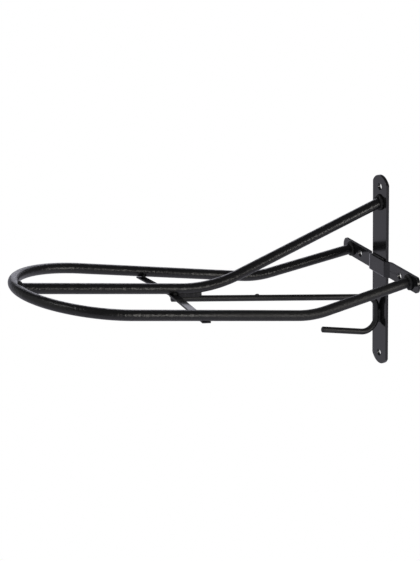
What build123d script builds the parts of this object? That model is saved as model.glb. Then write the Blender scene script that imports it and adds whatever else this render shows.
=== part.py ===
"""Wall-mounted saddle rack: a welded steel frame that carries a riding saddle and a bridle.

A vertical strap and a shorter cross strap screw to the wall. A tube bent into a long loop
reaches out from the ends of the cross strap, a spine tube runs along its middle, and a thin
rod under the spine turns back at the wall to make the bridle hook.

Frame: the wall is the plane Y = 0, the rack reaches out along -Y, +Z is up. The origin lies
on the wall, midway between the two holes of the cross strap.
"""

import math
import os

from build123d import *

# ---------------------------------------------------------------- driving dimensions, mm
PROJECTION = 600.0            # wall to the outside of the nose

TUBE_DIAMETER = 16.0
TUBE_WALL = 1.5
ROD_DIAMETER = 9.5

STRAP_THICKNESS = 5.0
SCREW_HOLE_DIAMETER = 11.0

VERTICAL_STRAP_WIDTH = 41.0
VERTICAL_STRAP_TOP = 145.5
VERTICAL_STRAP_BOTTOM = -167.0
VERTICAL_STRAP_CROWN = 12.0   # how far the rounded end rises above its shoulders
VERTICAL_HOLE_MARGIN = 18.0   # end of the strap to the centre of its hole

CROSS_STRAP_WIDTH = 25.0
CROSS_STRAP_LENGTH = 227.0
CROSS_STRAP_CROWN = 6.0
CROSS_HOLE_SPACING = 120.0
JOGGLE_CLEARANCE = 0.5
JOGGLE_RUN = 9.0

RAIL_SPREAD_AT_STRAP = 88.5   # centre plane to the centre of a rail, at the cross strap
RAIL_SPREAD_AT_BEND = 95.0
RAIL_BEND_OUT = 174.0         # wall to the corner where the rails turn upward
RAIL_BEND_HEIGHT = -19.4
RAIL_BEND_RADIUS = 150.0
RAIL_RISE = 0.216             # climb of the loop toward the nose, per unit of reach
NOSE_HALF_WIDTH = 109.0
NOSE_DEPTH = 124.4            # reach of the rounded end beyond its widest place

SPINE_TOP_HEIGHT = 103.0      # where the spine meets the vertical strap
SPINE_FOOT_SIDE = 1.5         # and how far right of the strap's middle
SPINE_BEND_OUT = 295.0
SPINE_BEND_HEIGHT = 14.4
SPINE_BEND_RADIUS = 200.0

CROSS_BAR_OUT = 355.7         # wall to the middle of the cross bar
CROSS_BAR_SKEW = 0.073        # how far the bar's left end is ahead of square, per unit of width
CROSS_BAR_WIDTH = 14.0
CROSS_BAR_THICKNESS = 2.5
CROSS_BAR_OVERHANG = 3.0      # beyond the centre of each rail
CROSS_BAR_EASE = 0.4          # room between the ends of the bar and the rails

BRACE_RISE_ANGLE = 10.4       # slope of the rod under the spine, climbing toward the nose
BRACE_END_OUT = 358.5
BRACE_WALL_HEIGHT = -53.2     # where the brace's line meets the upright part of the rod
HOOK_WALL_HEIGHT = -113.7     # where the hook's line meets it
HOOK_BEND_RADIUS = 22.0
HOOK_RISE_ANGLE = 14.2
HOOK_TIP_OUT = 106.8
HOOK_TIP_EDGE = 0.8           # softened edge of the cut ends of the rod

WELD_THROAT = 4.0             # height of the ring welds around the tube ends
BEAD_RADIUS = 2.8             # of the straight beads on the straps
ROD_WELD_LENGTH = 22.0        # of the two beads that hold the rod to the vertical strap
BAR_BEAD_RADIUS = 4.0         # of the heavier beads around the cross bar
SEAM_LENGTH = 40.0            # weld that fills the gap between spine and rod, behind the bar
SEAM_HALF_WIDTH = 4.2
NOSE_WELD_SIZE = 2.2

# ---------------------------------------------------------------- derived sizes
TUBE_RADIUS = TUBE_DIAMETER / 2
ROD_RADIUS = ROD_DIAMETER / 2
NOSE_OUT = PROJECTION - TUBE_RADIUS
WALL_OVERLAP = 6.0            # length that a tube is drawn past the strap before it is trimmed
WIDEST_OUT = NOSE_OUT - NOSE_DEPTH
RAIL_FLARE = (NOSE_HALF_WIDTH - RAIL_SPREAD_AT_BEND) / (WIDEST_OUT - RAIL_BEND_OUT)
BIG = 500.0


def loop_height(out):
    """Height of the loop's centre line at a distance out from the wall."""
    return RAIL_BEND_HEIGHT + RAIL_RISE * (out - RAIL_BEND_OUT)


def spine_rise():
    """Climb of the straight part of the spine, which ends on the loop's nose."""
    return (loop_height(NOSE_OUT) - SPINE_BEND_HEIGHT) / (NOSE_OUT - SPINE_BEND_OUT)


def spine_height(out):
    """Height of the straight part of the spine at a distance out from the wall."""
    return SPINE_BEND_HEIGHT + spine_rise() * (out - SPINE_BEND_OUT)


def point(x, out, z):
    """A point given by its side offset, its distance out from the wall and its height."""
    return Vector(x, -out, z)


def bend(before, corner, after, radius):
    """Start, middle and end of the arc that rounds a corner between two straight runs."""
    back = (before - corner).normalized()
    ahead = (after - corner).normalized()
    half_angle = math.acos(back.dot(ahead)) / 2
    run = radius / math.tan(half_angle)
    inward = (back + ahead).normalized()
    middle = corner + inward * (radius / math.sin(half_angle) - radius)
    return corner + back * run, middle, corner + ahead * run


def round_bar(path, radius):
    """A round bar that follows a path."""
    section = Plane(origin=path @ 0, z_dir=path % 0) * Circle(radius)
    return sweep(section, path=path)


def in_front_of(plane_out):
    """Everything that stands further out from the wall than a plane."""
    return Pos(0, -plane_out - BIG, 0) * Box(2 * BIG, 2 * BIG, 2 * BIG)


def largest(shape):
    """The main solid of a shape, without any loose sliver."""
    return shape.solids().sort_by(SortBy.VOLUME)[-1]


# ---------------------------------------------------------------- straps
def strap_outline(width, length, crown):
    """A flat strap's face, lying in XY with its length along X and crowned ends."""
    half = length / 2
    shoulder = half - crown
    side = width / 2
    edges = [
        Line((-shoulder, side), (shoulder, side)),
        ThreePointArc((shoulder, side), (half, 0), (shoulder, -side)),
        Line((shoulder, -side), (-shoulder, -side)),
        ThreePointArc((-shoulder, -side), (-half, 0), (-shoulder, side)),
    ]
    return make_face(edges)


def screw_hole(x, z):
    """A cutter for one screw hole through either strap."""
    return Pos(x, 0, z) * Rot(90, 0, 0) * Cylinder(SCREW_HOLE_DIAMETER / 2, 8 * STRAP_THICKNESS)


def make_vertical_strap():
    """The flat bar that stands against the wall."""
    length = VERTICAL_STRAP_TOP - VERTICAL_STRAP_BOTTOM
    middle = (VERTICAL_STRAP_TOP + VERTICAL_STRAP_BOTTOM) / 2
    face = strap_outline(VERTICAL_STRAP_WIDTH, length, VERTICAL_STRAP_CROWN)
    upright = Plane(origin=(0, 0, middle), x_dir=(0, 0, 1), z_dir=(0, -1, 0))
    strap = extrude(upright * face, amount=STRAP_THICKNESS)
    strap -= screw_hole(0, VERTICAL_STRAP_TOP - VERTICAL_HOLE_MARGIN)
    strap -= screw_hole(0, VERTICAL_STRAP_BOTTOM + VERTICAL_HOLE_MARGIN)
    return strap


def make_cross_strap():
    """The shorter flat bar, stepped forward where it passes over the vertical strap."""
    half = CROSS_STRAP_LENGTH / 2
    step_end = VERTICAL_STRAP_WIDTH / 2 + JOGGLE_CLEARANCE
    step_start = step_end + JOGGLE_RUN
    back_edge = [
        (-half, 0),
        (-step_start, 0),
        (-step_end, -STRAP_THICKNESS),
        (step_end, -STRAP_THICKNESS),
        (step_start, 0),
        (half, 0),
    ]
    # the slanted faces shift inward by this much when the bar is given its thickness
    lean = STRAP_THICKNESS * math.tan(math.atan2(STRAP_THICKNESS, JOGGLE_RUN) / 2)
    front_edge = [
        (half, -STRAP_THICKNESS),
        (step_start + lean, -STRAP_THICKNESS),
        (step_end + lean, -2 * STRAP_THICKNESS),
        (-step_end - lean, -2 * STRAP_THICKNESS),
        (-step_start - lean, -STRAP_THICKNESS),
        (-half, -STRAP_THICKNESS),
    ]
    profile = make_face(Polyline(*back_edge, *front_edge, close=True))
    bar = Pos(0, 0, -CROSS_STRAP_WIDTH / 2) * extrude(profile, amount=CROSS_STRAP_WIDTH)
    upright = Plane(origin=(0, 0, 0), x_dir=(1, 0, 0), z_dir=(0, -1, 0))
    outline = strap_outline(CROSS_STRAP_WIDTH, CROSS_STRAP_LENGTH, CROSS_STRAP_CROWN)
    strap = bar & extrude(upright * outline, amount=3 * STRAP_THICKNESS)
    for side in (-1, 1):
        strap -= screw_hole(side * CROSS_HOLE_SPACING / 2, 0)
    return strap


# ---------------------------------------------------------------- tubes and rod
def loop_plane():
    """The slanted plane of the loop, its origin where the loop is widest, its Y to the nose."""
    return Plane(
        origin=point(0, WIDEST_OUT, loop_height(WIDEST_OUT)),
        x_dir=(1, 0, 0),
        z_dir=(0, -RAIL_RISE, -1),
    )


def rail_corner(side):
    """Where the straight parts of one rail and its riser would meet."""
    return point(side * RAIL_SPREAD_AT_BEND, RAIL_BEND_OUT, RAIL_BEND_HEIGHT)


def rail_foot(side):
    """Where the centre of one rail meets the front of the cross strap."""
    return point(side * RAIL_SPREAD_AT_STRAP, STRAP_THICKNESS, 0)


def past_strap(foot, corner):
    """A place a little behind a foot, so that the tube can be trimmed at the strap."""
    return foot + (foot - corner).normalized() * WALL_OVERLAP


def loop_path():
    """Centre line of the loop: strap, bend, rail, rounded nose, and back again."""
    slant = math.hypot(1, RAIL_RISE)
    depth = NOSE_DEPTH * slant
    reach = (WIDEST_OUT - RAIL_BEND_OUT) * slant
    # the angle past its widest place at which the nose is tangent to the rails
    across, along = RAIL_SPREAD_AT_BEND / NOSE_HALF_WIDTH, reach / depth
    touch = math.degrees(math.atan2(along, across) - math.acos(1 / math.hypot(across, along)))
    nose = loop_plane() * EllipticalCenterArc(
        (0, 0), NOSE_HALF_WIDTH, depth, start_angle=-touch, arc_size=180 + 2 * touch
    )
    edges = [nose]
    for side, nose_end in ((1, nose @ 0), (-1, nose @ 1)):
        corner = rail_corner(side)
        wall_end = past_strap(rail_foot(side), corner)
        start, middle, end = bend(nose_end, corner, wall_end, RAIL_BEND_RADIUS)
        edges += [Line(nose_end, start), ThreePointArc(start, middle, end), Line(end, wall_end)]
    return Wire(edges)


def spine_corner():
    """Where the riser and the straight part of the spine would meet."""
    return point(0, SPINE_BEND_OUT, SPINE_BEND_HEIGHT)


def spine_foot():
    """Where the centre of the spine meets the front of the vertical strap."""
    return point(SPINE_FOOT_SIDE, STRAP_THICKNESS, SPINE_TOP_HEIGHT)


def spine_path():
    """Centre line of the spine: a riser at the wall, a long bend, and straight to the nose."""
    wall_end = past_strap(spine_foot(), spine_corner())
    nose_end = point(0, NOSE_OUT, loop_height(NOSE_OUT))
    start, middle, end = bend(wall_end, spine_corner(), nose_end, SPINE_BEND_RADIUS)
    return Wire([Line(wall_end, start), ThreePointArc(start, middle, end), Line(end, nose_end)])


def rod_out():
    """Distance from the wall to the centre of the rod where it lies on the vertical strap."""
    return STRAP_THICKNESS + ROD_RADIUS


def brace_height(out):
    """Height of the rod's centre line under the spine, at a distance out from the wall."""
    return BRACE_WALL_HEIGHT + math.tan(math.radians(BRACE_RISE_ANGLE)) * (out - rod_out())


def rod_path():
    """Centre line of the rod: brace under the spine, down along the strap, and the hook."""
    front = point(0, BRACE_END_OUT, brace_height(BRACE_END_OUT))
    upper = point(0, rod_out(), BRACE_WALL_HEIGHT)
    lower = point(0, rod_out(), HOOK_WALL_HEIGHT)
    rise = math.tan(math.radians(HOOK_RISE_ANGLE))
    tip = point(0, HOOK_TIP_OUT, HOOK_WALL_HEIGHT + rise * (HOOK_TIP_OUT - rod_out()))
    brace_end, upper_middle, upright_top = bend(front, upper, lower, HOOK_BEND_RADIUS)
    upright_foot, lower_middle, hook_start = bend(upper, lower, tip, HOOK_BEND_RADIUS)
    return Wire(
        [
            Line(front, brace_end),
            ThreePointArc(brace_end, upper_middle, upright_top),
            Line(upright_top, upright_foot),
            ThreePointArc(upright_foot, lower_middle, hook_start),
            Line(hook_start, tip),
        ]
    )


def make_rod():
    """The bent rod with the edges of its two cut ends softened."""
    rod = round_bar(rod_path(), ROD_RADIUS)
    rims = rod.edges().filter_by(GeomType.CIRCLE)
    cut_rims = [rim for rim in rims if rim.center().Y < ROD_RADIUS - HOOK_TIP_OUT]
    return chamfer(cut_rims, HOOK_TIP_EDGE)


# ---------------------------------------------------------------- cross bar
def bar_out(x):
    """Distance from the wall to the middle of the skewed cross bar, at a place across it."""
    return CROSS_BAR_OUT - CROSS_BAR_SKEW * x


def bar_spread():
    """Distance from the centre plane to a rail, above the cross bar."""
    return RAIL_SPREAD_AT_BEND + RAIL_FLARE * (CROSS_BAR_OUT - RAIL_BEND_OUT)


def bar_top_at_spine():
    """Height of the top of the cross bar, where it touches the underside of the spine."""
    return spine_height(CROSS_BAR_OUT) - TUBE_RADIUS * math.hypot(1, spine_rise())


def bar_top_at_rail(out):
    """Height of the top of the cross bar, just under a rail."""
    return loop_height(out) - TUBE_RADIUS * math.hypot(1, RAIL_RISE) - CROSS_BAR_EASE


def bar_slope():
    """Fall of the cross bar from the spine to the rails, per unit of width."""
    return (bar_top_at_spine() - bar_top_at_rail(CROSS_BAR_OUT)) / bar_spread()


def make_cross_bar():
    """The flat bar under the rails, folded upward to reach the spine in its middle."""
    end_x = bar_spread() + CROSS_BAR_OVERHANG
    end_drop = bar_slope() * end_x
    thick = CROSS_BAR_THICKNESS / math.cos(math.atan(bar_slope()))
    top = [(-end_x, -end_drop), (0, 0), (end_x, -end_drop)]
    bottom = [(end_x, -end_drop - thick), (0, -thick), (-end_x, -end_drop - thick)]
    profile = make_face(Polyline(*top, *bottom, close=True))
    # the bar's faces follow the slope of the spine above it, and it is turned by its skew
    ahead = Vector(0, -1, spine_rise()).normalized()
    seat = Plane(
        origin=point(0, CROSS_BAR_OUT, bar_top_at_spine()),
        x_dir=Vector(1, 0, 0) - ahead * CROSS_BAR_SKEW,
        z_dir=ahead + Vector(1, 0, 0) * CROSS_BAR_SKEW,
    )
    return extrude(seat * profile, amount=CROSS_BAR_WIDTH / 2, both=True)


# ---------------------------------------------------------------- weld beads
def without(shape, neighbours):
    """A bead cut back to the pieces that it lies against."""
    for neighbour in neighbours:
        shape -= neighbour
    return largest(shape)


def ring_weld(foot, corner, bar):
    """A fillet weld around a tube where it meets the front of a strap."""
    frame = Plane(origin=foot, z_dir=corner - foot)
    cone = frame * Cone(TUBE_RADIUS + 2 * WELD_THROAT, TUBE_RADIUS - 0.5, 2 * WELD_THROAT)
    return without(cone & in_front_of(STRAP_THICKNESS), [bar])


def line_weld(start, end, neighbours, radius=BEAD_RADIUS):
    """A straight bead with round ends, laid in the corner between its neighbours."""
    bead = round_bar(Line(start, end), radius)
    for place in (start, end):
        bead += Pos(place.X, place.Y, place.Z) * Sphere(radius)
    return without(bead, neighbours)


def nose_weld(loop_line, spine_line, loop_bar, spine_bar):
    """The weld around the coped end of the spine, where both tubes swell by the same size."""
    swollen = TUBE_RADIUS + NOSE_WELD_SIZE
    collar = round_bar(spine_line, swollen) & round_bar(loop_line, swollen)
    return without(collar & in_front_of(WIDEST_OUT), [loop_bar, spine_bar])


def bar_weld(x, z, rise, neighbours):
    """A bead along a tube or the rod, over or under the width of the cross bar."""
    half = CROSS_BAR_WIDTH / 2 - BAR_BEAD_RADIUS / 2
    start = point(x, bar_out(x) - half, z - rise * half)
    end = point(x, bar_out(x) + half, z + rise * half)
    return line_weld(start, end, neighbours, BAR_BEAD_RADIUS)


def seam_weld(neighbours):
    """The weld that fills the narrow gap between the spine and the rod, behind the cross bar."""
    front_out = CROSS_BAR_OUT
    back_out = CROSS_BAR_OUT - CROSS_BAR_WIDTH / 2 - SEAM_LENGTH
    outline = Polyline(
        point(0, front_out, brace_height(front_out)),
        point(0, front_out, spine_height(front_out)),
        point(0, back_out, spine_height(back_out)),
        point(0, back_out, brace_height(back_out)),
        close=True,
    )
    return without(extrude(make_face(outline), amount=SEAM_HALF_WIDTH, both=True), neighbours)


def main():
    """Build every piece and write each one to its own file."""
    os.makedirs("parts", exist_ok=True)

    loop_line, spine_line = loop_path(), spine_path()
    front = in_front_of(STRAP_THICKNESS)
    loop_bar = round_bar(loop_line, TUBE_RADIUS) & front
    spine_bar = round_bar(spine_line, TUBE_RADIUS) & front
    bore = TUBE_RADIUS - TUBE_WALL

    vertical_strap = make_vertical_strap()
    cross_strap = make_cross_strap()
    cross_bar = make_cross_bar()
    rod = make_rod()
    pieces = {
        "vertical_strap": vertical_strap,
        "cross_strap": cross_strap,
        "saddle_loop": loop_bar - round_bar(loop_line, bore),
        "spine_tube": without(spine_bar, [round_bar(spine_line, bore), loop_bar]),
        "cross_bar": cross_bar,
        "brace_and_hook_rod": rod,
        "weld_spine_to_strap": ring_weld(spine_foot(), spine_corner(), spine_bar),
        "weld_spine_to_nose": nose_weld(loop_line, spine_line, loop_bar, spine_bar),
        "weld_rod_to_spine": seam_weld([spine_bar, rod, cross_bar]),
    }

    edge = CROSS_STRAP_WIDTH / 2
    reach = VERTICAL_STRAP_WIDTH / 2 - 2 * BEAD_RADIUS
    for name, z in (("upper", edge), ("lower", -edge)):
        start, end = point(-reach, STRAP_THICKNESS, z), point(reach, STRAP_THICKNESS, z)
        pieces["weld_straps_" + name] = line_weld(start, end, [vertical_strap, cross_strap])

    # how far a bead's centre stands out from the face that it lies on
    stand_off = BEAD_RADIUS / 2
    bar_stand_off = 0.4 * BAR_BEAD_RADIUS
    tube_side = 0.8 * TUBE_RADIUS
    rod_side = ROD_RADIUS
    bar_underside = bar_top_at_spine() - CROSS_BAR_THICKNESS
    rod_middle = (BRACE_WALL_HEIGHT + HOOK_WALL_HEIGHT) / 2
    rod_seat = ROD_WELD_LENGTH / 2
    seam = pieces["weld_rod_to_spine"]
    for name, side in (("left", -1), ("right", 1)):
        pieces["weld_rail_to_strap_" + name] = ring_weld(rail_foot(side), rail_corner(side), loop_bar)
        x = side * (bar_spread() - tube_side)
        z = bar_top_at_rail(bar_out(x)) + bar_stand_off
        pieces["weld_rail_to_bar_" + name] = bar_weld(x, z, RAIL_RISE, [loop_bar, cross_bar])
        x = side * tube_side
        z = bar_top_at_spine() + bar_stand_off
        spine_bead = bar_weld(x, z, spine_rise(), [spine_bar, cross_bar, seam])
        pieces["weld_spine_to_bar_" + name] = spine_bead
        x = side * rod_side
        z = bar_underside - bar_stand_off
        pieces["weld_rod_to_bar_" + name] = bar_weld(
            x, z, spine_rise(), [rod, cross_bar, seam, spine_bead]
        )
        start = point(x, STRAP_THICKNESS + stand_off, rod_middle - rod_seat)
        end = point(x, STRAP_THICKNESS + stand_off, rod_middle + rod_seat)
        pieces["weld_rod_to_strap_" + name] = line_weld(start, end, [rod, vertical_strap])

    for name, part in pieces.items():
        export_step(part, os.path.join("parts", name + ".step"))


main()
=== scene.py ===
"""Looks for a wall-mounted saddle rack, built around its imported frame.

The rack is welded from steel tube, rod and flat bar and coated black. Lengths are in metres.
The wall is the plane y = 0, the rack reaches out along -y, and z is up.
"""

import logging
import math
from dataclasses import dataclass, field, replace
from enum import Enum
from typing import Callable, Sequence

import bmesh
import bpy
from mathutils import Matrix, Vector


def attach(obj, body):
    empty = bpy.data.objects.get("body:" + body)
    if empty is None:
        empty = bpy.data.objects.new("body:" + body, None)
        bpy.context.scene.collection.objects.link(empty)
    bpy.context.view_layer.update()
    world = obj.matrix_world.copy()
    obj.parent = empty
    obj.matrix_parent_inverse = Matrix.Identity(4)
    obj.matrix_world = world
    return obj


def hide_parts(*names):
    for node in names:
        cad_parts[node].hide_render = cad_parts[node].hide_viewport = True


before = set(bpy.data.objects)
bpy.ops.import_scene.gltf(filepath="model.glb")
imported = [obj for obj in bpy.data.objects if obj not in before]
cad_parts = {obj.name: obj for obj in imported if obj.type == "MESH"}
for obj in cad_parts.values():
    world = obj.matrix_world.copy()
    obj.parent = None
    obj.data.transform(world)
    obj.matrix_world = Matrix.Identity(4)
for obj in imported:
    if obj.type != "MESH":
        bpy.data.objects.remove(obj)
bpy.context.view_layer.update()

LOG = logging.getLogger("saddle_rack")
BODY = "root"
X_AXIS = Vector((1, 0, 0))
Z_AXIS = Vector((0, 0, 1))
UPRIGHT = Matrix(((0, 1, 0, 0), (0, 0, -1, 0), (1, 0, 0, 0), (0, 0, 0, 1)))
LEVEL = Matrix(((1, 0, 0, 0), (0, 0, -1, 0), (0, 1, 0, 0), (0, 0, 0, 1)))
SIDES = (("left", -1), ("right", 1))
Colour = tuple[float, float, float]
Span = tuple[float, float]
Shape = bmesh.types.BMesh
Socket = bpy.types.NodeSocket
Material = bpy.types.Material
ROUND_CREASE = math.radians(40)
FLAT_CREASE = math.radians(10.5)
SAME_PLACE = 1e-5
WHITE = (1.0, 1.0, 1.0)


class Slot(Enum):
    """Material slots of the record, one for each kind of stock."""

    TUBE = "painted_tube"
    ROD = "painted_rod"
    STRAP = "painted_strap"
    WELD = "painted_weld"


# ---- shader maths
class Graph:
    """The node tree of a material or a world, with one way to add a node."""

    def __init__(self, owner: bpy.types.ID) -> None:
        """Start with an empty node tree.

        Args:
            owner: The material or world that the tree belongs to.
        """
        self.owner = owner
        self.owner.use_nodes = True
        self.tree = self.owner.node_tree
        self.tree.nodes.clear()

    def node(
        self, kind: str, settings: dict[str, object] | None = None, **inputs: object
    ) -> bpy.types.Node:
        """Add a node, set it up and feed its sockets.

        Args:
            kind: Type name of the node, without its ShaderNode prefix.
            settings: Attributes of the node, set before its sockets.
            **inputs: Socket names, with _ for a space, and their values or links.

        Returns:
            The new node.
        """
        made = self.tree.nodes.new("ShaderNode" + kind)
        for key, value in (settings or {}).items():
            setattr(made, key, value)
        for key, value in inputs.items():
            self.feed(made.inputs[key.replace("_", " ")], value)
        return made

    def feed(self, socket: Socket, value: object) -> None:
        """Give a socket its value or its link.

        Args:
            socket: The socket that takes it.
            value: A number, a colour, a socket or a Signal.
        """
        if isinstance(value, Signal):
            value = value.socket
        if isinstance(value, Socket):
            self.tree.links.new(value, socket)
        else:
            socket.default_value = value

    def signal(self, socket: Socket) -> "Signal":
        """Wrap a socket, so that it can be used in an expression."""
        return Signal(self, socket)

    def noise(
        self, place: Socket, scale: float, detail: float, rough: float = 0.5
    ) -> "Signal":
        """Smooth noise around 0.5, with so many bumps per metre and so many finer layers."""
        made = self.node("TexNoise", Vector=place, Scale=scale, Detail=detail, Roughness=rough)
        return self.signal(made.outputs["Fac"])

    def rise(self, value: Socket, low: float, high: float) -> "Signal":
        """Rise smoothly from 0 to 1 between two values.

        Args:
            value: The socket that is read.
            low: Value that becomes 0.
            high: Value that becomes 1.

        Returns:
            The clamped rise.
        """
        smooth = {"interpolation_type": "SMOOTHSTEP"}
        made = self.node("MapRange", smooth, Value=value, From_Min=low, From_Max=high)
        return self.signal(made.outputs["Result"])

    def blend(
        self, share: object, low: Colour | Socket, high: Colour | Socket
    ) -> Socket:
        """Mix two colours.

        Args:
            share: Share of the second colour.
            low: First colour, as linear red, green and blue or as a colour socket.
            high: Second colour, likewise.

        Returns:
            The colour socket of the mix.
        """
        made = self.node("Mix", {"data_type": "RGBA", "clamp_factor": True})
        self.feed(made.inputs[0], share)
        # a mix of colours takes them in its sockets 6 and 7, and gives them in its third output
        for index, colour in ((6, low), (7, high)):
            is_socket = isinstance(colour, Socket)
            self.feed(made.inputs[index], colour if is_socket else (*colour, 1.0))
        return made.outputs[2]


class Signal:
    """A number that varies over a surface; operators on it add Math nodes."""

    def __init__(self, graph: Graph, socket: Socket) -> None:
        """Keep the graph and its socket that carries the number."""
        self.graph = graph
        self.socket = socket

    def math(self, operation: str, *values: object, clamp: bool = False) -> "Signal":
        """Add one Math node.

        Args:
            operation: Name of the operation.
            *values: Its inputs, in order.
            clamp: Whether the result stays from 0 to 1.

        Returns:
            The result.
        """
        made = self.graph.node("Math", {"operation": operation, "use_clamp": clamp})
        for socket, value in zip(made.inputs, values):
            self.graph.feed(socket, value)
        return Signal(self.graph, made.outputs[0])

    def __add__(self, other: object) -> "Signal":
        """Sum."""
        return self.math("ADD", self, other)

    __radd__ = __add__

    def __mul__(self, other: object) -> "Signal":
        """Product."""
        return self.math("MULTIPLY", self, other)

    def __sub__(self, other: object) -> "Signal":
        """Difference."""
        return self.math("SUBTRACT", self, other)

    def __rsub__(self, other: object) -> "Signal":
        """Difference, from a plain number."""
        return self.math("SUBTRACT", other, self)

    def band(self, low: float, high: float) -> "Signal":
        """Rise from 0 to 1 between two values, and stay there."""
        return self.math("MULTIPLY", self - low, 1.0 / (high - low), clamp=True)


@dataclass(frozen=True)
class WearAndHighlight:
    """Where and how far a coating shows wear, and where a folded strap gets its painted highlight
    lines; each pair is where it starts and where it is full.
    """

    bevel_radius: float = 0.0011
    bevel_samples: int = 6
    edge: Span = (0.008, 0.10)
    edge_grain: Span = (0.42, 0.62)
    cloud_scale: float = 22.0
    dust_cloud: Span = (0.5, 0.8)
    dust_grain: Span = (0.5, 0.75)
    dust: float = 0.35
    # the next five settings place painted highlight lines along the ridge of a strap's fold and
    # along the lower edge of its middle section
    crest_highlight: Span = (0.0008, 0.0015)
    crest_highlight_strength: float = 0.9
    inside_margin: float = 0.0005
    lower_edge: Span = (-0.0113, -0.0119)
    lower_highlight_strength: float = 0.6
    right: Span = (0.05, 0.09)
    rear: Span = (-0.37, -0.30)
    cloud_shine: float = 0.10
    grain_shine: float = 0.12
    rubbed_shine: float = 0.10


@dataclass(frozen=True)
class Coat:
    """A black coating on steel: its colour, its gloss, and the texture that it dried with."""

    name: str
    colour: Colour
    wear_and_highlight: Colour
    roughness: float
    dimple_scale: float
    dimple_depth: float
    grain_scale: float
    grain_depth: float
    edge_wear: float = 0.5
    handled: float = 0.0
    # distance across to the left fold, whose ridge gets a painted highlight line, with a second one
    # along the lower edge of the middle section; 0 for none
    fold: float = 0.0
    wear_and_highlight_settings: WearAndHighlight = WearAndHighlight()

    def material(self) -> Material:
        """Build the coating's material.

        Returns:
            The finished material.
        """
        wear_and_highlight_settings = self.wear_and_highlight_settings
        graph = Graph(bpy.data.materials.new(self.name))
        place = graph.node("TexCoord").outputs["Object"]
        dimples = graph.noise(place, self.dimple_scale, detail=2.0, rough=0.55)
        grain = graph.noise(place, self.grain_scale, detail=3.0, rough=0.6)
        cloud = graph.noise(place, wear_and_highlight_settings.cloud_scale, detail=2.0)
        normal = graph.node("NewGeometry").outputs["Normal"]
        bevel = {"samples": wear_and_highlight_settings.bevel_samples}
        rounded = graph.node("Bevel", bevel, Radius=wear_and_highlight_settings.bevel_radius).outputs["Normal"]
        facing = graph.node("VectorMath", {"operation": "DOT_PRODUCT"})
        graph.feed(facing.inputs[0], normal)
        graph.feed(facing.inputs[1], rounded)
        edge = (1.0 - graph.signal(facing.outputs["Value"])).band(*wear_and_highlight_settings.edge)
        rubbed = edge * grain.band(*wear_and_highlight_settings.edge_grain) * self.edge_wear
        dust = cloud.band(*wear_and_highlight_settings.dust_cloud) * grain.band(*wear_and_highlight_settings.dust_grain) * wear_and_highlight_settings.dust
        spot = graph.node("SeparateXYZ", Vector=place)
        across, out, up = (graph.signal(spot.outputs[axis]) for axis in "XYZ")
        wear_and_highlight = rubbed + dust
        # painted highlight: pale lines along the ridge of the left fold and along the lower edge of
        # the middle section, added to the wear
        if self.fold:
            aside = across + self.fold
            crest_highlight = 1.0 - aside.math("ABSOLUTE", aside).band(*wear_and_highlight_settings.crest_highlight)
            edge = self.fold - wear_and_highlight_settings.inside_margin
            inside = across.math("ABSOLUTE", across).band(self.fold, edge)
            lower = up.band(*wear_and_highlight_settings.lower_edge) * inside
            wear_and_highlight = wear_and_highlight + crest_highlight * wear_and_highlight_settings.crest_highlight_strength + lower * wear_and_highlight_settings.lower_highlight_strength
        tint = wear_and_highlight.math("MINIMUM", wear_and_highlight, 1.0)
        handled = across.band(*wear_and_highlight_settings.right) * out.band(*wear_and_highlight_settings.rear) * self.handled
        height = dimples * self.dimple_depth + grain * self.grain_depth
        bump = graph.node("Bump", Strength=1.0, Distance=1.0, Height=height)
        shine = self.roughness + (cloud - 0.5) * wear_and_highlight_settings.cloud_shine
        shine = shine + (grain - 0.5) * wear_and_highlight_settings.grain_shine + rubbed * wear_and_highlight_settings.rubbed_shine + handled
        shader = graph.node(
            "BsdfPrincipled",
            Base_Color=graph.blend(tint, self.colour, self.wear_and_highlight),
            Roughness=shine,
            Normal=bump.outputs["Normal"],
        )
        graph.node("OutputMaterial", Surface=shader.outputs["BSDF"])
        return graph.owner


# ---- centre lines
@dataclass(frozen=True)
class Station:
    """A place on a centre line, its heading there, and how much the bar swells."""

    place: Vector
    heading: Vector
    swell: float = 1.0


def stations_straight(start: Vector, end: Vector, pieces: int) -> list[Station]:
    """Stations along a straight run, at its two ends and between equal steps."""
    heading = (end - start).normalized()
    return [Station(start.lerp(end, step / pieces), heading) for step in range(pieces + 1)]


def stations_corner(
    before: Vector, corner: Vector, after: Vector, radius: float, pieces: int
) -> list[Station]:
    """Stations along the arc that rounds a corner.

    Args:
        before: A place on the run that arrives.
        corner: Where the two runs would meet.
        after: A place on the run that leaves.
        radius: Radius of the bend.
        pieces: Number of equal steps.

    Returns:
        The stations, both ends included.
    """
    back = (before - corner).normalized()
    ahead = (after - corner).normalized()
    half = back.angle(ahead) / 2
    centre = corner + (back + ahead).normalized() * (radius / math.sin(half))
    start = corner + back * (radius / math.tan(half))
    axis = (-back).cross(ahead).normalized()
    made = []
    for step in range(pieces + 1):
        turn = Matrix.Rotation((math.pi - 2 * half) * step / pieces, 3, axis)
        made.append(Station(centre + turn @ (start - centre), turn @ -back))
    return made


def joined(*runs: list[Station]) -> list[Station]:
    """Join runs end to end, leaving out stations that repeat the one before.

    Args:
        *runs: The runs in order.

    Returns:
        One list of stations.
    """
    made: list[Station] = []
    for station in (station for run in runs for station in run):
        if not made or (station.place - made[-1].place).length > SAME_PLACE:
            made.append(station)
    return made


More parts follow.
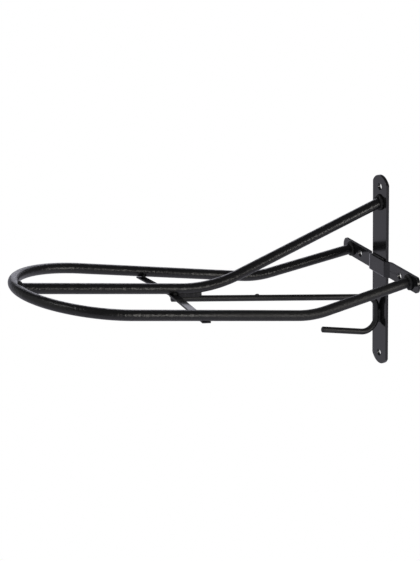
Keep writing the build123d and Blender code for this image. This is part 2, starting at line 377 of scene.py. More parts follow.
def cut_ends(stations: list[Station], edge: float, radius: float) -> list[Station]:
    """Soften the rims of a bar's two cut ends.

    Args:
        stations: Its centre line.
        edge: Size of the softened rim.
        radius: Radius of the bar.

    Returns:
        The centre line with a few narrower stations at each end.
    """
    rings = 4
    first, last = stations[0], stations[-1]
    start, end = [], []
    for step in range(rings):
        angle = math.pi / 2 * step / rings
        swell = 1 - edge / radius * (1 - math.sin(angle))
        inset = edge * (1 - math.cos(angle))
        start.append(Station(first.place + first.heading * inset, first.heading, swell))
        end.append(Station(last.place - last.heading * inset, last.heading, swell))
    body = [
        station
        for station in stations[1:-1]
        if min((station.place - first.place).length, (station.place - last.place).length) > edge
    ]
    near = Station(first.place + first.heading * edge, first.heading)
    far = Station(last.place - last.heading * edge, last.heading)
    return [*start, near, *body, far, *reversed(end)]


def ring_matrix(station: Station, twist: Matrix) -> Matrix:
    """Where a unit ring stands at a station, turned by twist and scaled by its swell."""
    return Matrix.Translation(station.place) @ twist.to_4x4() @ Matrix.Scale(station.swell, 4)


def extrude_rim(
    shape: Shape, rim: list[bmesh.types.BMEdge], move: Matrix
) -> list[bmesh.types.BMEdge]:
    """Extrude an open rim and move the new one on.

    Args:
        shape: The mesh.
        rim: The edges of the open rim.
        move: Carries the old rim to the new one.

    Returns:
        The edges of the new rim.
    """
    made = bmesh.ops.extrude_edge_only(shape, edges=rim)["geom"]
    moved = [item for item in made if isinstance(item, bmesh.types.BMVert)]
    bmesh.ops.transform(shape, matrix=move, verts=moved)
    return [item for item in made if isinstance(item, bmesh.types.BMEdge)]


def draw_bar(
    stations: list[Station], radius: float, sides: int, closed: bool = False
) -> Shape:
    """Draw a round bar by pushing a ring along its centre line.

    Args:
        stations: The centre line.
        radius: Radius of the bar.
        sides: Number of sides of the ring.
        closed: Whether the last station leads back to the first.

    Returns:
        A closed mesh.
    """
    shape = bmesh.new()
    twist = Z_AXIS.rotation_difference(stations[0].heading).to_matrix()
    where = ring_matrix(stations[0], twist)
    bmesh.ops.create_circle(shape, segments=sides, radius=radius, matrix=where)
    first = rim = list(shape.edges)
    for before, station in zip(stations, stations[1:]):
        twist = before.heading.rotation_difference(station.heading).to_matrix() @ twist
        target = ring_matrix(station, twist)
        rim = extrude_rim(shape, rim, target @ where.inverted())
        where = target
    if closed:
        bmesh.ops.bridge_loops(shape, edges=first + rim)
    else:
        bmesh.ops.holes_fill(shape, edges=first + rim, sides=sides)
    bmesh.ops.recalc_face_normals(shape, faces=shape.faces)
    return shape


def add_object(
    shape: Shape, name: str, material: Material
) -> bpy.types.Object:
    """Turn a mesh into an object of the scene, standing at the origin.

    Args:
        shape: The mesh, which is freed.
        name: Name of the object and of its mesh.
        material: Its only material.

    Returns:
        The object.
    """
    mesh = bpy.data.meshes.new(name)
    shape.to_mesh(mesh)
    shape.free()
    mesh.materials.append(material)
    made = bpy.data.objects.new(name, mesh)
    bpy.context.scene.collection.objects.link(made)
    return made


def finish_piece(
    shape: Shape, name: str, slot: Slot, coat: Material, *nodes: str,
    crease: float = ROUND_CREASE,
) -> None:
    """Turn a mesh into a finished piece that stands for its CAD nodes.

    Args:
        shape: The mesh, which is freed.
        name: Name of the piece.
        slot: Material slot for its kind of stock; not used.
        coat: Its material.
        *nodes: CAD nodes that it replaces.
        crease: Angle between two faces from which their edge is shaded sharp.
    """
    for face in shape.faces:
        face.smooth = True
    for edge in shape.edges:
        edge.smooth = not edge.is_manifold or edge.calc_face_angle(0) < crease
    piece = add_object(shape, name, coat)
    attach(piece, BODY)
    if nodes:
        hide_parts(*nodes)
    faces = len(piece.data.polygons)
    LOG.info("%s: %d faces, stands for %s", name, faces, ", ".join(nodes) or "no node")


# ---- weld beads
@dataclass(frozen=True)
class Bead:
    """A weld bead: small overlapping ripples along a line, uneven as hand welding is."""

    radius: float
    pitch: float = 0.0017
    ripple: float = 0.13
    unevenness: float = 0.10
    seed: float = 0.0
    sides: int = 18
    mean_scallop: float = 0.6
    drift_waves: tuple[tuple[float, float, float], ...] = ((310.0, 1.0, 1.0), (743.0, 0.6, 2.1))
    fewest_ripples: int = 3
    steps_per_ripple: int = 6
    heading_gap: float = 0.25
    smallest_end: float = 0.02

    def seeded(self, seed: float) -> "Bead":
        """The same bead with its own unevenness."""
        return replace(self, seed=seed)

    def swell(self, travelled: float) -> float:
        """Relative thickness of the bead.

        Args:
            travelled: Length of the bead up to there.

        Returns:
            The thickness, around 1.
        """
        scallop = abs(math.sin(math.pi * travelled / self.pitch)) - self.mean_scallop
        drift = sum(
            part * math.sin(rate * travelled + phase * self.seed)
            for rate, part, phase in self.drift_waves
        )
        return 1 + self.ripple * scallop + self.unevenness * drift

    def along(
        self, line: Callable[[float], Vector], length: float, closed: bool
    ) -> Shape:
        """Lay the bead along a line.

        Args:
            line: Gives the place at a share of the line, from 0 to 1.
            length: Length of the line.
            closed: Whether the line ends where it starts.

        Returns:
            The bead's mesh.
        """
        ripples = max(self.fewest_ripples, round(length / self.pitch))
        steps = ripples * self.steps_per_ripple
        pace = ripples * self.pitch / steps
        made = []
        for step in range(steps if closed else steps + 1):
            share = step / steps
            gap = self.heading_gap / steps
            low, high = share - gap, share + gap
            heading = (line(high) - line(low)).normalized()
            swell = self.swell(step * pace)
            if not closed:
                near_end = min(share, 1 - share) * length / self.radius
                swell *= math.sqrt(max(self.smallest_end, 1 - max(0.0, 1 - near_end) ** 2))
            made.append(Station(line(share), heading, swell))
        return draw_bar(made, self.radius, self.sides, closed)

    def between(self, start: Vector, end: Vector) -> Shape:
        """Lay the bead straight from one place to another."""
        return self.along(lambda share: start.lerp(end, share), (end - start).length, False)


# ---- sub-assemblies
@dataclass
class FlatBar:
    """A flat bar with crowned ends and screw holes, laid out along X and then stood in place."""

    width: float
    thickness: float
    low: float
    high: float
    crown: float
    holes: tuple[float, ...] = ()
    hole_radius: float = 0.0055
    rim: float = 0.0006
    crown_steps: int = 28
    hole_sides: int = 40
    rim_steps: int = 4
    flat_angle: float = math.radians(0.5)
    sharp_angle: float = math.radians(60)
    cut_distance: float = 1e-6

    def outline(self, shape: Shape) -> None:
        """Draw the outline of the face as edges, with arcs spun at both ends.

        Args:
            shape: Mesh that takes the edges.
        """
        half = self.width / 2
        if self.crown > 0:
            radius = (half * half + self.crown * self.crown) / (2 * self.crown)
            sweep = 2 * math.asin(half / radius)
        corners = []
        for end, sign in ((self.high, 1), (self.low, -1)):
            start = shape.verts.new((end - sign * self.crown, -sign * half, 0))
            if self.crown > 0:
                centre = (end - sign * radius, 0, 0)
                spun = bmesh.ops.spin(
                    shape, geom=[start], cent=centre, axis=Z_AXIS, angle=sweep,
                    steps=self.crown_steps, use_merge=False,
                )["geom_last"]
                last = next(item for item in spun if isinstance(item, bmesh.types.BMVert))
            else:
                last = shape.verts.new((end, sign * half, 0))
                shape.edges.new((start, last))
            corners.append((start, last))
        shape.edges.new((corners[0][1], corners[1][0]))
        shape.edges.new((corners[1][1], corners[0][0]))

    def build(self, bends: Sequence[float] = ()) -> Shape:
        """Build the straight bar, lying in XY with its thickness toward +Z.

        Args:
            bends: Places along X that get a cut across, for a fold.

        Returns:
            The bar's mesh, its edges still sharp.
        """
        shape = bmesh.new()
        self.outline(shape)
        for place in self.holes:
            where = Matrix.Translation((place, 0, 0))
            bmesh.ops.create_circle(
                shape, segments=self.hole_sides, radius=self.hole_radius, matrix=where
            )
        bmesh.ops.triangle_fill(shape, use_beauty=True, edges=list(shape.edges), normal=Z_AXIS)
        made = bmesh.ops.extrude_face_region(shape, geom=list(shape.faces))["geom"]
        moved = [item for item in made if isinstance(item, bmesh.types.BMVert)]
        bmesh.ops.translate(shape, verts=moved, vec=(0, 0, self.thickness))
        for place in bends:
            everything = [*shape.verts, *shape.edges, *shape.faces]
            bmesh.ops.bisect_plane(
                shape, geom=everything, plane_co=X_AXIS * place, plane_no=X_AXIS,
                dist=self.cut_distance,
            )
        return shape

    def finish(
        self, shape: Shape, where: Matrix, name: str, coat: Material, node: str
    ) -> None:
        """Round the bar's sheared edges and the rims of its holes, stand it in place and dress it.

        Args:
            shape: The bar's mesh.
            where: Carries the bar to its place.
            name: Name of the piece.
            coat: Its coating.
            node: CAD node that it replaces.
        """
        verts, edges = list(shape.verts), list(shape.edges)
        bmesh.ops.dissolve_limit(shape, angle_limit=self.flat_angle, verts=verts, edges=edges)
        edges = [edge for edge in shape.edges if edge.is_manifold]
        sharp = [edge for edge in edges if edge.calc_face_angle(0) > self.sharp_angle]
        bmesh.ops.bevel(
            shape, geom=sharp, offset=self.rim, segments=self.rim_steps, profile=0.5,
            affect="EDGES", material=-1, clamp_overlap=True,
        )
        bmesh.ops.triangulate(shape, faces=[face for face in shape.faces if len(face.verts) > 4])
        bmesh.ops.recalc_face_normals(shape, faces=shape.faces)
        bmesh.ops.transform(shape, matrix=where, verts=shape.verts)
        bmesh.ops.recalc_face_normals(shape, faces=shape.faces)
        finish_piece(shape, name, Slot.STRAP, coat, node, crease=FLAT_CREASE)


@dataclass
class WallStraps:
    """The two flat bars that screw to the wall, crossed and welded together."""

    thickness: float = 0.005
    vertical: FlatBar = field(
        default_factory=lambda: FlatBar(
            0.041, thickness=0.005, low=-0.167, high=0.1455, crown=0.012, holes=(-0.149, 0.1275)
        )
    )
    cross: FlatBar = field(
        default_factory=lambda: FlatBar(
            0.025, thickness=0.005, low=-0.1135, high=0.1135, crown=0.006, holes=(-0.060, 0.060)
        )
    )
    joggle_end: float = 0.0210
    joggle_run: float = 0.0098
    joggle_cuts: int = 10

    def step_out(self, x: float, lean: float) -> float:
        """How far the cross strap stands out at x, its fold shifted outward by lean."""
        share = (self.joggle_end + lean + self.joggle_run - abs(x)) / self.joggle_run
        return self.thickness * min(1.0, max(0.0, share))

    def build(self, coat: Material, folded_coat: Material) -> None:
        """Build and dress both straps.

        Args:
            coat: Coating of the vertical strap.
            folded_coat: Coating of the cross strap, with painted highlight lines along its left
                fold and the lower edge of its middle section.
        """
        strap = self.vertical.build()
        self.vertical.finish(strap, UPRIGHT, "vertical_wall_strap", coat, "vertical_strap")
        lean = self.thickness * math.tan(math.atan2(self.thickness, self.joggle_run) / 2)
        span = self.joggle_run + lean
        cuts = [
            side * (self.joggle_end + span * step / self.joggle_cuts)
            for _, side in SIDES
            for step in range(self.joggle_cuts + 1)
        ]
        strap = self.cross.build(cuts)
        for vert in strap.verts:
            on_front = vert.co.z > self.thickness / 2
            vert.co.z += self.step_out(vert.co.x, lean if on_front else 0.0)
        self.cross.finish(strap, LEVEL, "cross_wall_strap", folded_coat, "cross_strap")


@dataclass
class SaddleFrame:
    """The outer loop, the spine and the cross bar that together carry the saddle."""

    radius: float = 0.008
    projection: float = 0.600
    strap: float = 0.005
    foot_spread: float = 0.0885
    bend_spread: float = 0.095
    bend_out: float = 0.174
    bend_height: float = -0.0194
    bend_radius: float = 0.150
    rise: float = 0.216
    nose_half_width: float = 0.109
    nose_depth: float = 0.1244
    spine_top: float = 0.1030
    spine_side: float = 0.0015
    spine_bend_out: float = 0.295
    spine_bend_height: float = 0.0144
    spine_bend_radius: float = 0.200
    bar_out: float = 0.3557
    bar_skew: float = 0.073
    bar_width: float = 0.014
    bar_thickness: float = 0.0025
    bar_overhang: float = 0.003
    bar_ease: float = 0.0004
    bar_rim: float = 0.0005
    fold_reach: float = 0.010
    fold_softness: float = 0.003
    cope_inset: float = 0.3
    sides: int = 48
    nose_steps: int = 96
    bend_steps: int = 20
    spine_bend_steps: int = 32
    foot_steps: int = 6
    rail_steps: int = 12
    spine_steps: int = 10
    fold_steps: int = 8

    @property
    def nose_out(self) -> float:
        """Distance from the wall to the centre line of the nose."""
        return self.projection - self.radius

    @property
    def widest_out(self) -> float:
        """Distance from the wall to the loop's widest place."""
        return self.nose_out - self.nose_depth

    @property
    def spine_rise(self) -> float:
        """Climb of the spine's straight part toward the nose."""
        climb = self.loop_height(self.nose_out) - self.spine_bend_height
        return climb / (self.nose_out - self.spine_bend_out)

    def loop_height(self, out: float) -> float:
        """Height of the loop's centre line at a distance from the wall."""
        return self.bend_height + self.rise * (out - self.bend_out)

    def spine_height(self, out: float) -> float:
        """Height of the spine's straight part at a distance from the wall."""
        return self.spine_bend_height + self.spine_rise * (out - self.spine_bend_out)

    def rail_spread(self, out: float) -> float:
        """Distance from the centre plane to a rail's straight part."""
        flare = (self.nose_half_width - self.bend_spread) / (self.widest_out - self.bend_out)
        return self.bend_spread + flare * (out - self.bend_out)

    def foot(self, side: int) -> Vector:
        """Where a rail's centre meets the cross strap."""
        return Vector((side * self.foot_spread, -self.strap, 0))

    def corner(self, side: int) -> Vector:
        """Where a rail's straight runs would meet."""
        return Vector((side * self.bend_spread, -self.bend_out, self.bend_height))

    def nose_stations(self) -> list[Station]:
        """Stations round the nose.

        Returns:
            The stations, from the left rail to the right one.
        """
        slant = math.hypot(1, self.rise)
        across = self.bend_spread / self.nose_half_width
        along = (self.widest_out - self.bend_out) / self.nose_depth
        touch = math.atan2(along, across) - math.acos(1 / math.hypot(across, along))
        centre = Vector((0, -self.widest_out, self.loop_height(self.widest_out)))
        ahead = Vector((0, -1, self.rise)) / slant
        depth = self.nose_depth * slant
        made = []
        for step in range(self.nose_steps + 1):
            angle = math.pi + touch - (math.pi + 2 * touch) * step / self.nose_steps
            cosine, sine = math.cos(angle), math.sin(angle)
            place = centre + X_AXIS * self.nose_half_width * cosine + ahead * depth * sine
            heading = X_AXIS * self.nose_half_width * sine - ahead * depth * cosine
            made.append(Station(place, heading.normalized()))
        return made

    def loop_line(self) -> list[Station]:
        """Centre line of the loop.

        Returns:
            Its stations, from the left foot round the nose to the right foot.
        """
        nose = self.nose_stations()
        radius, steps = self.bend_radius, self.bend_steps
        left = stations_corner(self.foot(-1), self.corner(-1), nose[0].place, radius, steps)
        right = stations_corner(nose[-1].place, self.corner(1), self.foot(1), radius, steps)
        return joined(
            stations_straight(self.foot(-1), left[0].place, self.foot_steps),
            left,
            stations_straight(left[-1].place, nose[0].place, self.rail_steps),
            nose,
            stations_straight(nose[-1].place, right[0].place, self.rail_steps),
            right,
            stations_straight(right[-1].place, self.foot(1), self.foot_steps),
        )

    @property
    def spine_foot(self) -> Vector:
        """Where the spine's centre meets the vertical strap."""
        return Vector((self.spine_side, -self.strap, self.spine_top))

    @property
    def spine_corner(self) -> Vector:
        """Where the spine's two straight runs would meet."""
        return Vector((0, -self.spine_bend_out, self.spine_bend_height))

    @property
    def nose_centre(self) -> Vector:
        """Centre of the loop's tube at the front of the nose."""
        return Vector((0, -self.nose_out, self.loop_height(self.nose_out)))

    def spine_line(self) -> list[Station]:
        """Centre line of the spine.

        Returns:
            Its stations, from the vertical strap to the inside of the nose.
        """
        foot, corner, end = self.spine_foot, self.spine_corner, self.nose_centre
        end += (corner - end).normalized() * self.radius * self.cope_inset
        bend = stations_corner(foot, corner, end, self.spine_bend_radius, self.spine_bend_steps)
        return joined(
            stations_straight(foot, bend[0].place, self.spine_steps),
            bend,
            stations_straight(bend[-1].place, end, self.spine_steps),
        )

    def underside(self, height: float, rise: float) -> float:
        """Height of the underside of a sloping tube, where the cross bar touches it."""
        return height - self.radius * math.hypot(1, rise)

    def build_cross_bar(self, coat: Material) -> None:
        """Build and dress the folded flat bar under the tubes.

        Args:
            coat: Its coating.
        """
        spread = self.rail_spread(self.bar_out)
        middle = self.underside(self.spine_height(self.bar_out), self.spine_rise)
        end = self.underside(self.loop_height(self.bar_out), self.rise) - self.bar_ease
        slope = (middle - end) / spread
        half = spread + self.bar_overhang
        width, thickness = self.bar_width, self.bar_thickness
        flat = FlatBar(width, thickness, low=-half, high=half, crown=0.0, rim=self.bar_rim)
        cuts = [
            side * self.fold_reach * step / self.fold_steps
            for _, side in SIDES
            for step in range(1, self.fold_steps + 1)
        ]
        bar = flat.build([*cuts, 0.0])
        soft = self.fold_softness
        for vert in bar.verts:
            vert.co.z -= thickness + slope * (math.hypot(vert.co.x, soft) - soft)
        tilt = Matrix.Rotation(-math.atan(self.spine_rise), 4, "X")
        skew = Matrix.Rotation(math.atan(self.bar_skew), 4, "Z")
        where = Matrix.Translation((0, -self.bar_out, middle))
        flat.finish(bar, where @ tilt @ skew, "under_bar", coat, "cross_bar")

    def build(self, tube_coat: Material, bar_coat: Material) -> None:
        """Build and dress the loop, the spine and the cross bar.

        Args:
            tube_coat: Coating of the tubes.
            bar_coat: Coating of the cross bar.
        """
        loop = draw_bar(self.loop_line(), self.radius, self.sides)
        finish_piece(loop, "outer_loop", Slot.TUBE, tube_coat, "saddle_loop")
        spine = draw_bar(self.spine_line(), self.radius, self.sides)
        finish_piece(spine, "centre_spine", Slot.TUBE, tube_coat, "spine_tube")
        self.build_cross_bar(bar_coat)


@dataclass
class BridleRod:
    """The rod that braces the spine, runs down the strap and reaches out again as the hook."""

    radius: float = 0.00475
    strap: float = 0.005
    bend_radius: float = 0.022
    brace_angle: float = math.radians(10.4)
    brace_wall: float = -0.0532
    brace_out: float = 0.3585
    hook_angle: float = math.radians(14.2)
    hook_wall: float = -0.1137
    hook_out: float = 0.1068
    end_rim: float = 0.0009
    spatter_out: float = 0.2187
    spatter_radius: float = 0.0019
    spatter_stretch: float = 1.9
    spatter_subdivisions: int = 3
    sides: int = 36
    brace_steps: int = 14
    top_bend_steps: int = 20
    upright_steps: int = 4
    low_bend_steps: int = 24
    hook_steps: int = 6

    @property
    def upright_out(self) -> float:
        """Distance from the wall to the centre of the rod where it lies on the strap."""
        return self.strap + self.radius

    def brace_height(self, out: float) -> float:
        """Height of the brace's centre line at a distance from the wall."""
        return self.brace_wall + math.tan(self.brace_angle) * (out - self.upright_out)

    def line(self) -> list[Station]:
        """Centre line of the rod.

        Returns:
            Its stations, from the front end of the brace to the hook's tip.
        """
        front = Vector((0, -self.brace_out, self.brace_height(self.brace_out)))
        upper = Vector((0, -self.upright_out, self.brace_wall))
        lower = Vector((0, -self.upright_out, self.hook_wall))
        climb = math.tan(self.hook_angle) * (self.hook_out - self.upright_out)
        tip = Vector((0, -self.hook_out, self.hook_wall + climb))
        radius = self.bend_radius
        top_bend = stations_corner(front, upper, lower, radius, self.top_bend_steps)
        low_bend = stations_corner(upper, lower, tip, radius, self.low_bend_steps)
        return joined(
            stations_straight(front, top_bend[0].place, self.brace_steps),
            top_bend,
            stations_straight(top_bend[-1].place, low_bend[0].place, self.upright_steps),
            low_bend,
            stations_straight(low_bend[-1].place, tip, self.hook_steps),
        )

    def build(self, coat: Material) -> None:
        """Build and dress the rod, with a speck of weld spatter on top of the brace.

        Args:
            coat: Its coating.
        """
        rod = draw_bar(cut_ends(self.line(), self.end_rim, self.radius), self.radius, self.sides)
        top = self.brace_height(self.spatter_out) + self.radius
        where = Matrix.Translation((0, -self.spatter_out, top))
        bmesh.ops.create_icosphere(
            rod,
            subdivisions=self.spatter_subdivisions,
            radius=self.spatter_radius,
            matrix=where @ Matrix.Diagonal((1.0, self.spatter_stretch, 1.0, 1.0)),
        )
        finish_piece(rod, "brace_and_hook", Slot.ROD, coat, "brace_and_hook_rod")


@dataclass
class Welds:
    """Every weld of the rack, laid on the joints of its tubes, bars and rod."""

    saddle: SaddleFrame
    rod: BridleRod
    straps: WallStraps
    coat: Material
    foot_bead: Bead = Bead(0.0032, pitch=0.0021, ripple=0.17, unevenness=0.15)
    nose_bead: Bead = Bead(0.0024)
    strap_bead: Bead = Bead(0.0024)
    rod_strap_bead: Bead = Bead(0.0030)
    tube_bar_bead: Bead = Bead(0.0041, pitch=0.0026)
    rod_bar_bead: Bead = Bead(0.0036, pitch=0.0024)
    foot_clearance: float = 0.25
    foot_stand_off: float = 0.35
    nose_clearance: float = 0.15
    nose_roundness: float = 0.9
    nose_stand_off: float = 0.25
    nose_turns: float = 2.2
    strap_end_gap: float = 0.0035
    strap_stand_off: float = 0.0004
    rod_aside: float = 0.85
    rod_stand_off: float = 0.0012
    rod_reach: float = 0.0115
    tube_aside: float = 0.8
    bar_stand_off: float = 0.0016
    web_length: float = 0.0395
    web_gap: float = 0.001
    web_half_width: float = 0.0041
    web_into_rod: float = 0.0005
    web_into_spine: float = 0.0010
    web_waves: tuple[tuple[float, float, float], ...] = ((0.06, 2300.0, 0.0), (0.05, 890.0, 1.0))
    web_end: float = 0.35
    web_taper: float = 4.0
    web_rows: int = 34
    web_sides: int = 28

    def place(self, shape: Shape, name: str, node: str) -> None:
        """Dress one bead, which stands for one CAD node."""
        finish_piece(shape, name, Slot.WELD, self.coat, node)

    def around_foot(self, foot: Vector, toward: Vector, bead: Bead) -> Shape:
        """A bead around a tube where it meets the front of a strap.

        Args:
            foot: Centre of the tube on the strap.
            toward: A place further along the tube.
            bead: The bead.

        Returns:
            Its mesh.
        """
        heading = (toward - foot).normalized()
        radius = self.saddle.radius + bead.radius * self.foot_clearance
        tall = radius / math.sqrt(1 - heading.z**2)
        centre = foot + Vector((0, -bead.radius * self.foot_stand_off, 0))

        def line(share: float) -> Vector:
            """Place on the tube's outline, at a share of the way round."""
            turn = math.tau * share
            return centre + Vector((radius * math.cos(turn), 0, tall * math.sin(turn)))

        return bead.along(line, math.pi * (radius + tall), True)

    def around_nose(self, bead: Bead) -> Shape:
        """The bead around the coped end of the spine.

        Args:
            bead: The bead.

        Returns:
            Its mesh.
        """
        centre = self.saddle.nose_centre
        back = Vector((0, 1, -self.saddle.rise)).normalized()
        up = X_AXIS.cross(back)
        radius = self.saddle.radius + bead.radius * self.nose_clearance

        def line(share: float) -> Vector:
            """Place on the line where the two tubes meet.

            Args:
                share: Share of the way round, from 0 to 1.

            Returns:
                The place.
            """
            cosine, sine = math.cos(math.tau * share), math.sin(math.tau * share)
            depth = radius * math.sqrt(1 - self.nose_roundness * sine**2)
            reach = depth + bead.radius * self.nose_stand_off
            return centre + X_AXIS * radius * cosine + up * radius * sine + back * reach

        return bead.along(line, self.nose_turns * math.pi * radius, True)

    def along_bar(self, x: float, z: float, rise: float, bead: Bead) -> Shape:
        """A bead along a tube or the rod, over or under the width of the cross bar.

        Args:
            x: Its place across the rack.
            z: Its height at the middle of the bar.
            rise: Its climb toward the nose.
            bead: The bead.

        Returns:
            Its mesh.
        """
        reach = self.saddle.bar_width / 2 - bead.radius
        out = self.saddle.bar_out - self.saddle.bar_skew * x
        start = Vector((x, -(out - reach), z - rise * reach))
        end = Vector((x, -(out + reach), z + rise * reach))
        return bead.between(start, end)

    def build_strap_welds(self) -> None:
        """Build the welds on the two wall straps."""
        saddle, rod, front = self.saddle, self.rod, -self.saddle.strap
        ring = self.around_foot(saddle.spine_foot, saddle.spine_corner, self.foot_bead.seeded(1.0))
        self.place(ring, "bead_spine_strap", "weld_spine_to_strap")
        edge = self.straps.cross.width / 2
        reach = self.straps.vertical.width / 2 - self.strap_end_gap
        for name, z, seed in (("upper", edge, 3.0), ("lower", -edge, 4.0)):
            start = Vector((-reach, front - self.strap_stand_off, z))
            end = Vector((reach, front - self.strap_stand_off, z))
            bead = self.strap_bead.seeded(seed).between(start, end)
            self.place(bead, "bead_straps_" + name, "weld_straps_" + name)
        middle = (rod.brace_wall + rod.hook_wall) / 2
        for name, side in SIDES:
            bead = self.foot_bead.seeded(5.0 + side)
            ring = self.around_foot(saddle.foot(side), saddle.corner(side), bead)
            self.place(ring, "bead_rail_strap_" + name, "weld_rail_to_strap_" + name)
            x = side * rod.radius * self.rod_aside
            start = Vector((x, front - self.rod_stand_off, middle - self.rod_reach))
            end = Vector((x, front - self.rod_stand_off, middle + self.rod_reach))
            bead = self.rod_strap_bead.seeded(13.0 + side).between(start, end)
            self.place(bead, "bead_rod_strap_" + name, "weld_rod_to_strap_" + name)

    def build_bar_welds(self) -> None:
        """Build the welds around the cross bar."""
        saddle, aside = self.saddle, self.tube_aside * self.saddle.radius
        climb = saddle.spine_rise
        spread = saddle.rail_spread(saddle.bar_out)
        spine = saddle.underside(saddle.spine_height(saddle.bar_out), climb)
        under = spine - saddle.bar_thickness - self.bar_stand_off
        for name, side in SIDES:
            x = side * (spread - aside)
            out = saddle.bar_out - saddle.bar_skew * x
            rail = saddle.underside(saddle.loop_height(out), saddle.rise) + self.bar_stand_off
            bead = self.along_bar(x, rail, saddle.rise, self.tube_bar_bead.seeded(7.0 + side))
            self.place(bead, "bead_rail_bar_" + name, "weld_rail_to_bar_" + name)
            over, bead = spine + self.bar_stand_off, self.tube_bar_bead.seeded(9.0 + side)
            bead = self.along_bar(side * aside, over, climb, bead)
            self.place(bead, "bead_spine_bar_" + name, "weld_spine_to_bar_" + name)
            bead = self.rod_bar_bead.seeded(11.0 + side)
            bead = self.along_bar(side * self.rod.radius, under, climb, bead)
            self.place(bead, "bead_rod_bar_" + name, "weld_rod_to_bar_" + name)

    def build_web(self) -> None:
        """Build the weld that fills the gap between the spine and the rod, behind the bar."""
        saddle, rod = self.saddle, self.rod
        front = saddle.bar_out - saddle.bar_width / 2 + self.web_gap
        back = front - self.web_length
        shape = bmesh.new()
        first, rim = [], []
        where = Matrix.Identity(4)
        for row in range(self.web_rows + 1):
            share = row / self.web_rows
            out = front + (back - front) * share
            low = rod.brace_height(out) - self.web_into_rod
            high = saddle.spine_height(out) + self.web_into_spine
            waves = (part * math.sin(rate * out + phase) for part, rate, phase in self.web_waves)
            wave = 1 + sum(waves)
            taper = min(1.0, self.web_end + self.web_taper * min(share, 1 - share))
            width = self.web_half_width * wave * taper
            scale = Matrix.Diagonal((width, 1.0, (high - low) / 2, 1.0))
            target = Matrix.Translation((0, -out, (high + low) / 2)) @ scale
            if row == 0:
                ring = target @ Matrix.Rotation(math.pi / 2, 4, "X")
                bmesh.ops.create_circle(shape, segments=self.web_sides, radius=1.0, matrix=ring)
                first = rim = list(shape.edges)
            else:
                rim = extrude_rim(shape, rim, target @ where.inverted())
            where = target
        bmesh.ops.holes_fill(shape, edges=first + rim, sides=self.web_sides)
        bmesh.ops.recalc_face_normals(shape, faces=shape.faces)
        self.place(shape, "bead_rod_spine", "weld_rod_to_spine")

    def build(self) -> None:
        """Build and dress every bead."""
        ring = self.around_nose(self.nose_bead.seeded(2.0))
        self.place(ring, "bead_spine_nose", "weld_spine_to_nose")
        self.build_strap_welds()
        self.build_bar_welds()
        self.build_web()


# ---- studio
@dataclass(frozen=True)
class Lamp:
    """A soft rectangular light that faces a point of the rack."""

    name: str
    place: tuple[float, float, float]
    aim: tuple[float, float, float]
    width: float
    height: float
    power: float
    colour: Colour = WHITE

    def build(self) -> None:
        """Add the light to the scene."""
        data = bpy.data.lights.new(self.name, "AREA")
        data.shape = "RECTANGLE"
        data.size, data.size_y = self.width, self.height
        data.energy = self.power
        data.color = self.colour
        lamp = bpy.data.objects.new(self.name, data)
        lamp.location = self.place
        lamp.rotation_mode = "QUATERNION"
        lamp.rotation_quaternion = (Vector(self.aim) - Vector(self.place)).to_track_quat("-Z", "Y")
        bpy.context.scene.collection.objects.link(lamp)


LAMPS = (
    Lamp("key", (1.9, 1.2, 0.28), (0.0, -0.3, 0.0), 1.6, 0.7, power=20.0, colour=(1.0, 0.97, 0.92)),
    Lamp(
        "side_panel", (-1.4, 0.05, 0.52), (0.0, -0.40, 0.0), 1.1, 0.70, power=3.6,
        colour=(0.90, 0.90, 1.0),
    ),
    Lamp("nose_glint", (0.56, -1.22, 1.42), (0.0, -0.58, 0.06), 0.40, 0.30, power=2.6),
)


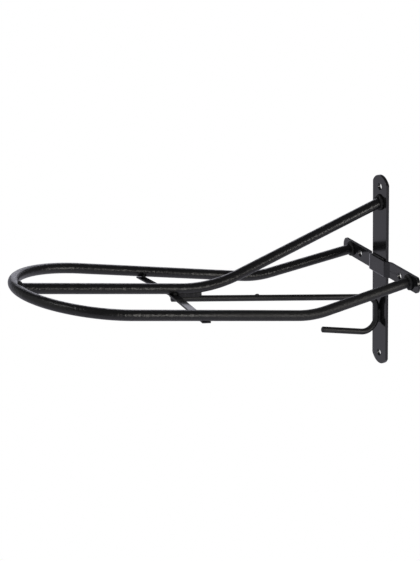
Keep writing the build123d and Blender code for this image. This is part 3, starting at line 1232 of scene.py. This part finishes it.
@dataclass(frozen=True)
class Studio:
    """A pale floor, soft lights, and the camera in front of the rack's right side."""

    floor_height: float = -0.9
    floor_size: float = 30.0
    camera_place: tuple[float, float, float] = (1.917, -1.142, 0.8096)
    azimuth: float = math.radians(66.17)
    elevation: float = math.radians(20.463)
    roll: float = math.radians(-2.093)
    sensor: float = 36.0
    lens: float = 96.6
    floor_glow: Colour = (0.53, 0.52, 0.585)
    room_glow: Colour = (0.10, 0.10, 0.11)
    backdrop_glow: Colour = (0.42, 0.42, 0.48)
    front_glow: Colour = (0.40, 0.40, 0.40)
    backdrop_top: Span = (0.33, 0.27)
    backdrop_side: Span = (-0.60, -0.72)
    front_side: Span = (-0.40, -0.72)
    floor_edge: Span = (-0.30, -0.05)

    def build_floor(self) -> None:
        """Add the pale floor, which stays out of the rack's reflections."""
        shape = bmesh.new()
        where = Matrix.Translation((0, 0, self.floor_height))
        bmesh.ops.create_grid(
            shape, x_segments=1, y_segments=1, size=self.floor_size, matrix=where
        )
        graph = Graph(bpy.data.materials.new("pale_floor"))
        shader = graph.node("Emission", Color=(*WHITE, 1.0), Strength=1.0)
        graph.node("OutputMaterial", Surface=shader.outputs["Emission"])
        floor = add_object(shape, "floor", graph.owner)
        floor.visible_diffuse = False
        floor.visible_glossy = False

    def build_world(self) -> None:
        """Surround the rack: white to the camera, and a dim room with pale sides to the rest."""
        graph = Graph(bpy.data.worlds.new("studio"))
        place = graph.node("TexCoord").outputs["Generated"]
        look = graph.node("SeparateXYZ", Vector=place).outputs
        low_down = graph.rise(look["Z"], *self.backdrop_top)
        backdrop = graph.blend(low_down, self.room_glow, self.backdrop_glow)
        to_left = graph.rise(look["X"], *self.backdrop_side)
        side = graph.blend(to_left, self.room_glow, backdrop)
        to_front = graph.rise(look["Y"], *self.front_side)
        upper = graph.blend(to_front, side, self.front_glow)
        room = graph.blend(graph.rise(look["Z"], *self.floor_edge), self.floor_glow, upper)
        camera = graph.node("LightPath").outputs["Is Camera Ray"]
        background = graph.node("Background", Color=graph.blend(camera, room, WHITE))
        graph.node("OutputWorld", Surface=background.outputs["Background"])
        bpy.context.scene.world = graph.owner

    def build_camera(self) -> None:
        """Add the camera."""
        data = bpy.data.cameras.new("camera")
        data.sensor_width = self.sensor
        data.lens = self.lens
        camera = bpy.data.objects.new("camera", data)
        flat, high = math.cos(self.elevation), math.sin(self.elevation)
        back = Vector((math.sin(self.azimuth) * flat, -math.cos(self.azimuth) * flat, high))
        right = (-back).cross(Z_AXIS).normalized()
        up = right.cross(-back)
        across = right * math.cos(self.roll) + up * math.sin(self.roll)
        above = up * math.cos(self.roll) - right * math.sin(self.roll)
        turn = Matrix((across, above, back)).transposed().to_4x4()
        camera.matrix_world = Matrix.Translation(self.camera_place) @ turn
        bpy.context.scene.collection.objects.link(camera)
        bpy.context.scene.camera = camera

    def build(self) -> None:
        """Build the whole studio."""
        self.build_floor()
        self.build_world()
        self.build_camera()
        for lamp in LAMPS:
            lamp.build()
        bpy.context.scene.view_settings.view_transform = "Standard"


def main() -> None:
    """Build the studio and the rack, and report each piece."""
    logging.basicConfig(level=logging.INFO, format="%(message)s")
    Studio().build()
    tube = Coat(
        "hammered_black_tube", colour=(0.009, 0.009, 0.009), wear_and_highlight=(0.05, 0.05, 0.05), roughness=0.3,
        dimple_scale=240.0, dimple_depth=0.00075, grain_scale=900.0, grain_depth=0.00010,
        handled=0.2,
    )
    rod = Coat(
        "hammered_black_rod", colour=(0.010, 0.010, 0.010), wear_and_highlight=(0.05, 0.05, 0.05), roughness=0.50,
        dimple_scale=420.0, dimple_depth=0.00030, grain_scale=1100.0, grain_depth=0.00007,
    )
    strap = Coat(
        "satin_black_strap", colour=(0.012, 0.012, 0.013), wear_and_highlight=(0.22, 0.22, 0.24), roughness=0.13,
        dimple_scale=160.0, dimple_depth=0.00002, grain_scale=1500.0, grain_depth=0.000006,
        edge_wear=0.6,
    )
    # its pale colour paints highlight lines on the left fold and the lower edge of the middle
    # section, and also colours its rubbed edges
    folded = replace(
        strap, name="satin_black_folded_strap_painted_highlight", wear_and_highlight=(0.50, 0.50, 0.54), edge_wear=0.2, fold=0.0218
    )
    weld = Coat(
        "black_weld_bead", colour=(0.005, 0.005, 0.005), wear_and_highlight=(0.02, 0.02, 0.02), roughness=0.52,
        dimple_scale=500.0, dimple_depth=0.00030, grain_scale=1200.0, grain_depth=0.00008,
    )
    straps, saddle, hook = WallStraps(), SaddleFrame(), BridleRod()
    straps.build(strap.material(), folded.material())
    saddle.build(tube.material(), strap.material())
    hook.build(rod.material())
    Welds(saddle, hook, straps, weld.material()).build()


if __name__ == "__main__":
    main()
